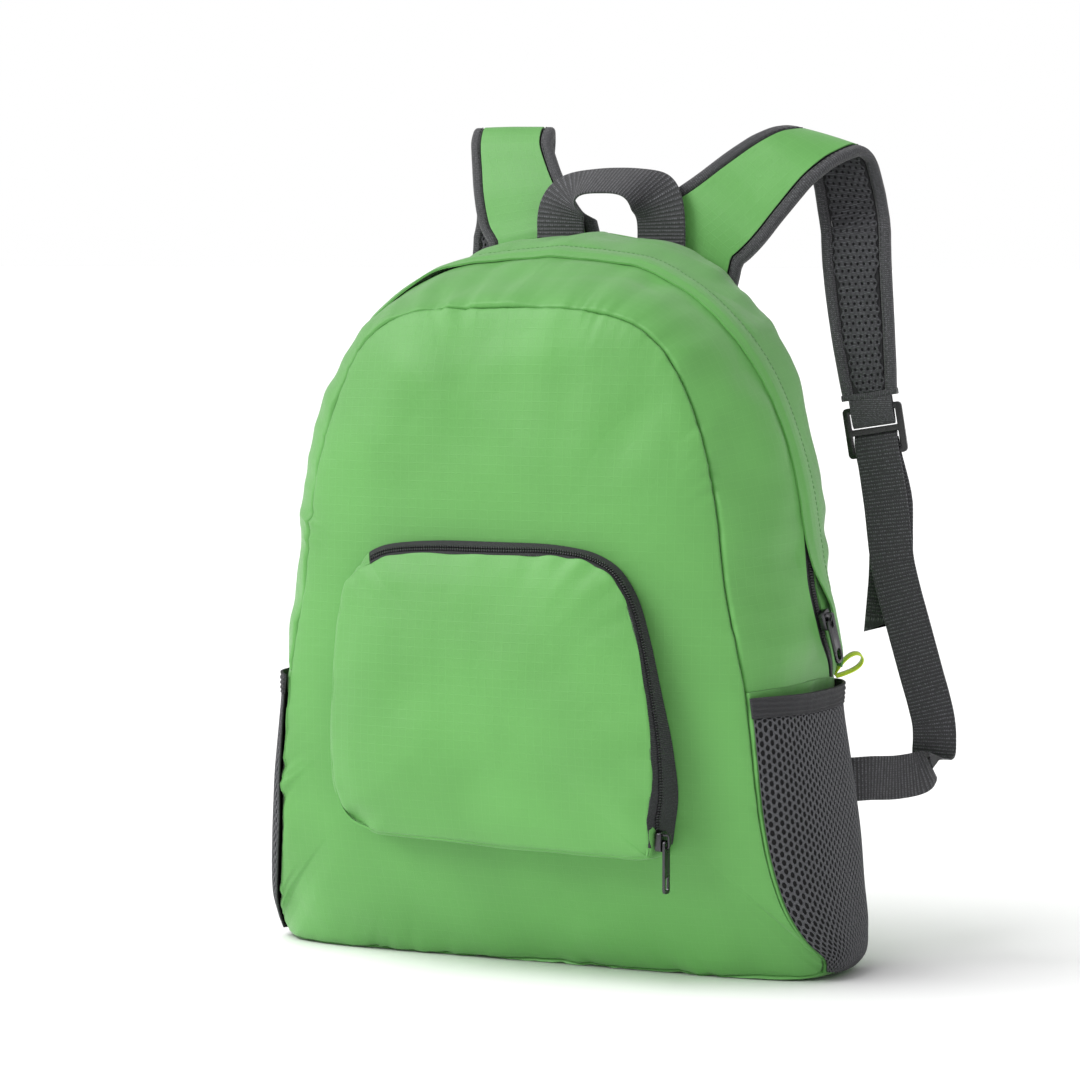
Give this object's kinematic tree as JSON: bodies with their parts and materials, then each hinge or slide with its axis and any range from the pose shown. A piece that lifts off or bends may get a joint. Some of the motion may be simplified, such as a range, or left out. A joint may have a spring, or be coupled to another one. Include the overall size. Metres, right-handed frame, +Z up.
{
  "type": "packable backpack",
  "caption": "Lightweight packable daypack with zipped front pocket, mesh side pockets, haul handle and padded shoulder straps with webbing.",
  "frame": {"origin": "centre of the base, on the ground", "axes": "+X to the right seen from the front, -Y out of the front, +Z up"},
  "size_m": [0.3711, 0.2227, 0.4689],
  "materials": {
    "cloth": "green ripstop, matt with a soft sheen",
    "trim": "charcoal webbing, binding and elastic",
    "mesh": "charcoal mesh",
    "zip": "grey zip tape with a black coil",
    "metal": "gunmetal",
    "plastic": "black, satin",
    "loop": "yellow-green ribbon with a dark edge"
  },
  "bodies": {
    "bag": {"front_panel": "cloth", "back_panel": "cloth", "bottom_panel": "cloth", "front_gusset": "cloth", "back_gusset": "cloth", "main_zip_tape": "zip", "zip_flap": "cloth", "end_loop": "loop", "pocket_panel": "cloth", "pocket_gusset": "cloth", "pocket_zip_tape": "zip", "haul_handle": "trim", "main_slider": "metal", "pocket_slider": "metal", "right_side_base": "cloth", "right_side_mesh": "mesh", "right_pocket_elastic": "trim", "right_strap_pad": "mesh", "right_strap_outer": "cloth", "right_strap_binding_left": "trim", "right_strap_binding_right": "trim", "right_strap_tab": "trim", "right_ladder_lock": "plastic", "right_webbing": "trim", "right_webbing_tail": "trim", "left_side_base": "cloth", "left_side_mesh": "mesh", "left_pocket_elastic": "trim", "left_strap_pad": "mesh", "left_strap_outer": "cloth", "left_strap_binding_left": "trim", "left_strap_binding_right": "trim", "left_strap_tab": "trim", "left_ladder_lock": "plastic", "left_webbing": "trim", "left_webbing_tail": "trim"},
    "main_puller": {"main_puller": "metal"},
    "pocket_puller": {"pocket_puller": "metal"}
  },
  "joints": [
    {"name": "main_puller_hinge", "type": "hinge", "parent": "bag", "child": "main_puller", "pos_m": [0.16362, -0.00476, 0.19631], "axis": [0.0322, -0.9535, -0.2997], "range_deg": [0, 150]},
    {"name": "pocket_puller_hinge", "type": "hinge", "parent": "bag", "child": "pocket_puller", "pos_m": [0.10336, -0.08731, 0.08071], "axis": [-0.0929, -0.9957, 0], "range_deg": [0, 150]}
  ]
}
